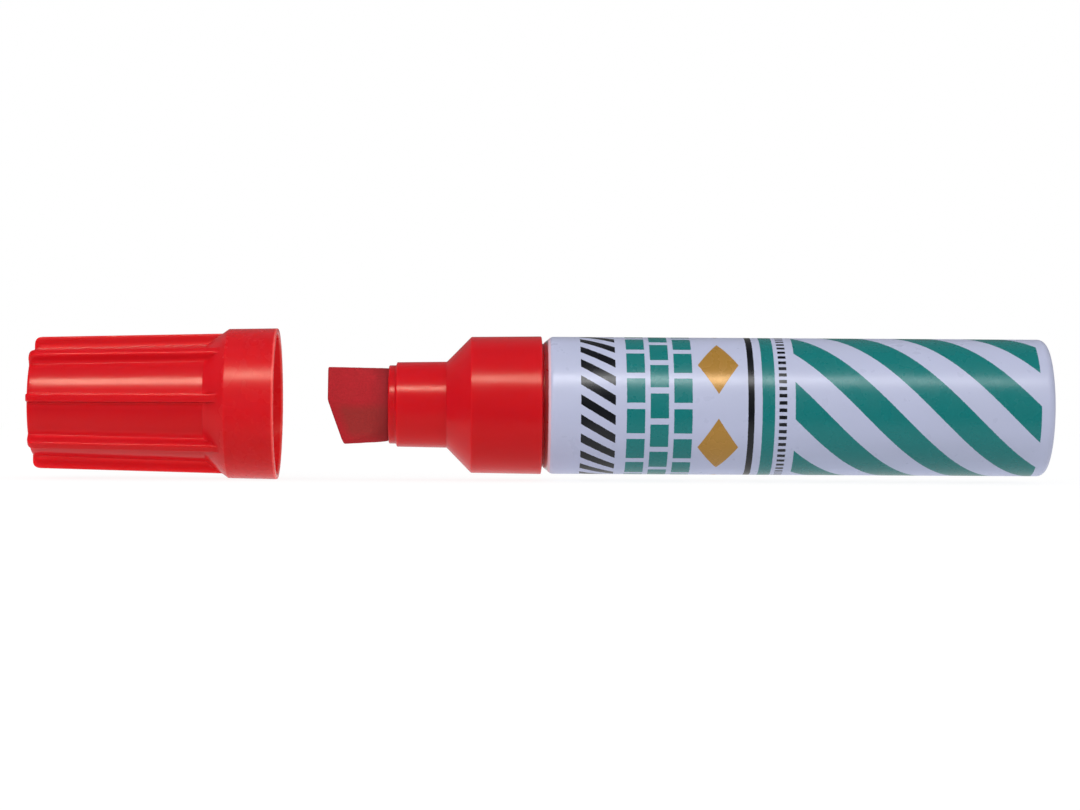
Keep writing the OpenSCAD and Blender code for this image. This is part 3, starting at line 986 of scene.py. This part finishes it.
can_finish, tree, shader, place = new_finish("lacquered_print", {"IOR": 1.5, "Specular IOR Level": 0.45})
plan = PrintPlan(tree, place)
green = plan.either(
    plan.bars(16.1, 19.6, count=14, share=0.80),
    plan.bars(20.6, 24.1, count=14, share=0.80, shift=0.5),
    plan.bars(25.1, 28.6, count=14, share=0.80),
    plan.ring(41.9, 44.3),
    plan.bars(48.2, 95.2, count=6, share=0.52, slant=0.0708),
)
black = plan.either(
    plan.bars(7.4, 14.0, count=22, share=0.50, slant=0.16),
    plan.ring(39.2, 40.4),
    plan.bars(45.1, 46.6, count=60, share=0.50),
)
gold = plan.lozenges(middle=33.6, half_length=3.9, count=5, share=0.72, shift=0.5)
# painted reflection: a pink band behind the bare rim stands in for the red collar mirrored in the lacquer
painted_reflection_band = plan.ring(LACQUER_EDGE, PINK_REFLECTION_END)
bare = plan.ring(CAN_FRONT - 1.0, LACQUER_EDGE)
green_ink = mottle(tree, cloud(tree, place, scale=3000.0), PRINT_GREEN, PRINT_GREEN_WORN)
colour = mottle(tree, streaks(tree, place, along=30.0, across=90.0), LACQUER, LACQUER_WARM)
for mask, layer in [(painted_reflection_band, RIM_PAINTED_REFLECTION), (bare, RIM_METAL), (green, green_ink), (black, PRINT_BLACK),
                    (gold, PRINT_GOLD)]:
    colour = blend(tree, mask, colour, layer)
plug(tree, shader.inputs["Base Color"], colour)
ink = plan.either(green, black, gold)
haze = between(tree, cloud(tree, place, scale=400.0), 0.27, 0.35)
plug(tree, shader.inputs["Roughness"], calc(tree, "MULTIPLY_ADD", ink, INK_SHINE, haze))
plug(tree, shader.inputs["Metallic"], calc(tree, "MULTIPLY_ADD", gold, GOLD_METALLIC, bare))
peel = calc(tree, "MULTIPLY", cloud(tree, place, scale=700.0), PEEL_HEIGHT)
film_top = calc(tree, "MULTIPLY_ADD", ink, INK_HEIGHT, peel)
plug(tree, shader.inputs["Normal"], raised(tree, film_top, depth=0.012 * MM, strength=0.7))
print("print motifs use", len(tree.nodes), "nodes")

# %% [markdown]
# ## Lacquered can: shape
# The can is drawn from one disc of aluminium. Its front rim is pressed down to a slope behind the holder's
# collar, and its closed end has a rounded edge. A Solidify modifier could give the wall; one turned profile
# gives the outside and the inside at once.

# %% Can
CAN_BORE = CAN_R - 0.5
CAN_FLOOR = CAN_REAR - 0.8
RIM_MOUTH_R = CAN_R - 1.3
RIM_END = CAN_FRONT + 1.6
RIM_INSIDE = CAN_FRONT + 0.793
RIM_INSIDE_END = CAN_FRONT + 1.778

can_corners = [
    (CAN_REAR, 0.0), (CAN_REAR, CAN_R, 1.5), (RIM_END, CAN_R, 1.2), (CAN_FRONT, RIM_MOUTH_R, 0.05),
    (RIM_INSIDE, RIM_MOUTH_R), (RIM_INSIDE_END, CAN_BORE, 0.7), (CAN_FLOOR, CAN_BORE, 1.0),
    (CAN_FLOOR, 0.0),
]
can_mesh = turned_mesh("lacquered_can", rounded(can_corners, steps=10), segments=224)
set_piece("lacquered_can", can_mesh, can_finish, "marker", "barrel_can")

# %% [markdown]
# ## Felt nib: rule of its shape
# The felt is round where it leaves the lip and pressed to a wide wedge. Each broad face has two halves that
# meet in a soft ridge along the middle. The front edge is square above and slants back below. It could be
# sculpted; here the shape is a rule. At each place along the nib and each angle around it, the felt reaches
# as far as the nearest of its limits: the round rod, the flared top and bottom, and the two faces. A soft
# minimum of those limits rounds the edges between them.

# %% Felt nib, rule
NIB_TIP, TAIL = span("chisel_nib")
NIB_R = 7.0
FLARE_TOP = 0.20
FLARE_BOTTOM = 0.90
FLARE_CURVE = 0.55
RIDGE_ROOT = 7.25
RIDGE_TIP = 3.20
RIDGE_SOFT = 0.9
RIDGE_ROUNDS = 8
FACE_SLOPE = math.tan(math.radians(15))
FACE_LIMIT = 40
SQUARE_END = 0.85
SLANT = 3.1 / (SQUARE_END + NIB_R + FLARE_BOTTOM)
SLANT_SOFT = 0.2
SOFTNESS = 0.10
PRESS_START = 0.40
LEAST_SINE = 0.05
NIB_TURNS = 240
RING_ROUNDS = 6
turns = np.linspace(0, 2 * math.pi, NIB_TURNS, endpoint=False)
sines = np.sin(turns)
cosines = np.abs(np.cos(turns))


def front_place(height):
    """Where the front face lies at this height."""
    below = (SQUARE_END - height) / SLANT_SOFT
    return NIB_TIP + SLANT * SLANT_SOFT * np.logaddexp(0, below)


def felt_reach(along):
    """How far the felt reaches from the axis, for each angle and its place along the nib."""
    out = np.clip((LIP - along) / (LIP - NIB_TIP), 0, 1)
    bulge = FLARE_BOTTOM * out ** FLARE_CURVE
    rod = NIB_R + bulge
    edge = (NIB_R + np.where(sines > 0, FLARE_TOP * out, bulge)) / np.maximum(np.abs(sines), LEAST_SINE)
    ridge = RIDGE_ROOT + (RIDGE_TIP - RIDGE_ROOT) * out
    face = ridge.copy()
    for _ in range(RIDGE_ROUNDS):
        soft = RIDGE_SOFT / face
        face = ridge / (cosines + FACE_SLOPE * (np.sqrt(sines ** 2 + soft ** 2) - soft))
    limits = np.stack([rod, edge, np.minimum(face, FACE_LIMIT)])
    least = limits.min(axis=0)
    pressed = least - SOFTNESS * np.log(np.exp((least - limits) / SOFTNESS).sum(axis=0))
    share = np.clip(out / PRESS_START, 0, 1)
    share = share ** 2 * (3 - 2 * share)
    loose = np.minimum(rod, edge)
    return loose + (pressed - loose) * share


def round_ring(along, reach):
    """A ring of points around the axis."""
    return np.stack([along, reach * np.cos(turns), reach * sines], axis=1)


def felt_ring(share, shrink=0.0, back=0.0):
    """A ring of felt: share is 0 at the lip and 1 at the front; shrink and back round the front edge."""
    reach = np.full(NIB_TURNS, NIB_R)
    for _ in range(RING_ROUNDS):
        along = LIP + share * (front_place(reach * sines) - LIP) + back
        reach = felt_reach(along)
    return round_ring(along, reach - shrink)


print("front edge slants back by", round(float(front_place(-NIB_R - FLARE_BOTTOM)) - NIB_TIP, 2), "mm")

# %% [markdown]
# ## Felt nib: finish
# The nib is dense pressed felt soaked with red ink. It shows no gloss. Its fibres lie mostly along the nib,
# and it is darker towards the lip. The lower half of each face, which faces down and away from the light,
# is darkened with a painted shade, except near the slanted front edge and the bottom edge. Hair particles
# would be far too coarse for such dense felt, so fine bumps, stretched along the nib, and a blotchy colour
# do the work.

# %% Felt nib, finish
FELT_RED = paint(181, 41, 48)
FELT_SOAKED_AND_SHADED = paint(158, 52, 50)
FELT_DEEPEST = paint(128, 36, 40)
LIP_DARKENING_SHARE = 0.65
GRAIN_SHARE = 0.2
SOAK_SHARE = 0.15
NAP_GRAIN_SHARE = 0.5
SLANTED_EDGE = NIB_TIP + SLANT * SQUARE_END

felt, tree, shader, place = new_finish("inked_felt", {"Specular IOR Level": 0.05})
fibres = streaks(tree, place, along=900.0, across=3800.0)
grain = cloud(tree, place, scale=2600.0)
soak = between(tree, cloud(tree, place, scale=180.0, detail=3.0), -SOAK_SHARE, SOAK_SHARE)
parts = split(tree, place)
slanted = calc(tree, "MULTIPLY_ADD", parts["Z"], SLANT, parts["X"])
off_edge = between_mm(tree, slanted, 0.0, 1.0, start=SLANTED_EDGE + 0.6, end=SLANTED_EDGE + 2.6)
off_bottom = between_mm(tree, parts["Z"], 0.0, 1.0, start=-7.3, end=-5.3)
below = between_mm(tree, parts["Z"], 1.0, 0.0, start=-1.3, end=0.5)
# painted shade: the lower half of each face, which faces down away from the light, is darkened; the same
# dark red also blotches the felt at random
painted_shade_lower = calc(tree, "MULTIPLY", below, calc(tree, "MULTIPLY", off_edge, off_bottom))
# darker towards the lip
darker_to_lip = between_mm(tree, parts["X"], 0.0, LIP_DARKENING_SHARE, start=LIP - 3.6, end=LIP - 0.4)
felt_colour = blend(tree, calc(tree, "ADD", painted_shade_lower, soak), FELT_RED, FELT_SOAKED_AND_SHADED)
felt_colour = blend(tree, darker_to_lip, felt_colour, FELT_DEEPEST)
felt_colour = blend(tree, between(tree, grain, 0.0, GRAIN_SHARE), felt_colour, FELT_DEEPEST)
plug(tree, shader.inputs["Base Color"], felt_colour)
plug(tree, shader.inputs["Roughness"], between(tree, grain, 0.80, 0.98))
nap = calc(tree, "MULTIPLY_ADD", grain, NAP_GRAIN_SHARE, fibres)
plug(tree, shader.inputs["Normal"], raised(tree, nap, depth=0.08 * MM, strength=0.7))
print("felt is darkest at", LIP, "mm")

# %% [markdown]
# ## Felt nib: skin
# Rings of points follow the rule from the lip to the front, turn around the front edge and close over the
# front face. Plain round rings behind them make the tail inside the holder. Displacement could roughen the
# surface at render time; here the points in the open are moved by a few hundredths of a millimetre, so the
# edges of the felt are as uneven as its faces.

# %% Felt nib, skin
FRONT_EDGE = 0.30
FRONT_BENDS = np.radians([0, 18, 36, 54, 72, 90])
FRONT_SHARES = (0.96, 0.9, 0.8, 0.65, 0.5, 0.3, 0.12)
FACE_SHARES = np.linspace(0.0, 0.965, 44)
TAIL_PROFILE = [(TAIL, 6.45), (TAIL - 0.15, 6.85), (TAIL - 0.6, 6.98), (TAIL - 1.0, NIB_R), (-6.0, NIB_R),
                (LIP + 0.6, NIB_R), (LIP + 0.3, NIB_R)]
ROUGH_START = 1.2
ROUGH_WAYS = np.array([0.3, 1.0, 1.0])
ROUGH_BROAD = 0.030
ROUGH_FINE = 0.016
BROAD_PER_MM = 1.1
FINE_PER_MM = 3.1

nib_rings = [round_ring(np.full(NIB_TURNS, along), radius) for along, radius in TAIL_PROFILE]
nib_rings += [felt_ring(share) for share in FACE_SHARES]
for bend in FRONT_BENDS:
    nib_rings.append(felt_ring(1.0, FRONT_EDGE * (1 - math.cos(bend)), FRONT_EDGE * (1 - math.sin(bend))))
front_rim = nib_rings[-1]
for share in FRONT_SHARES:
    inner = front_rim * (1, share, share)
    inner[:, 0] = front_place(inner[:, 2])
    nib_rings.append(inner)
for ring in nib_rings:
    for spot in ring:
        in_open = min(max((LIP - spot[0]) / ROUGH_START, 0.0), 1.0)
        broad = ROUGH_BROAD * noise.noise(Vector(spot) * BROAD_PER_MM)
        fine = ROUGH_FINE * noise.noise(Vector(spot) * FINE_PER_MM)
        spot += in_open * (broad + fine) * ROUGH_WAYS * np.sign(spot)
poles = [(TAIL, 0.0, 0.0), (float(front_place(0.0)), 0.0, 0.0)]
nib_mesh = mesh_mm("felt_nib", *skin_of_rings(nib_rings, poles, wrap=True))
face_outwards(nib_mesh)
set_piece("felt_nib", nib_mesh, felt, "marker", "chisel_nib")

# %% [markdown]
# ## What sits inside the can
# The fibre rod with the ink, the film around it and the ring that grips the nib's tail are closed in and
# never seen from outside. Their solids already have the right shape, so they stay, and only get finishes:
# loose inked fibres that run lengthwise, a thin cloudy film, and the same natural plastic as the liner.

# %% Inside pieces
FIBRE_DEEP = paint(168, 24, 34)
FIBRE_PALE = paint(206, 52, 58)
FILM_DEEP = paint(222, 210, 210)
FILM_PALE = paint(236, 230, 230)

fibre, tree, shader, place = new_finish("inked_fibre", {"Specular IOR Level": 0.2, "Sheen Weight": 0.1})
strands = streaks(tree, place, along=60.0, across=2600.0)
plug(tree, shader.inputs["Base Color"], mottle(tree, strands, FIBRE_DEEP, FIBRE_PALE))
plug(tree, shader.inputs["Roughness"], between(tree, strands, 0.75, 0.95))
plug(tree, shader.inputs["Normal"], raised(tree, strands, depth=0.15 * MM, strength=0.8))

film, tree, shader, place = new_finish("cloudy_film", {"IOR": 1.5, "Specular IOR Level": 0.5})
crease = streaks(tree, place, along=40.0, across=260.0, detail=4.0)
plug(tree, shader.inputs["Base Color"], mottle(tree, crease, FILM_DEEP, FILM_PALE))
plug(tree, shader.inputs["Roughness"], between(tree, crease, 0.20, 0.40))
plug(tree, shader.inputs["Normal"], raised(tree, crease, depth=0.08 * MM, strength=0.6))

for node, finish in [("ink_reservoir", fibre), ("reservoir_wrap", film), ("nib_retainer", polyethylene)]:
    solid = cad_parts[node]
    solid.data.materials.clear()
    solid.data.materials.append(finish)
    print(node, "keeps its solid and gets", finish.name)
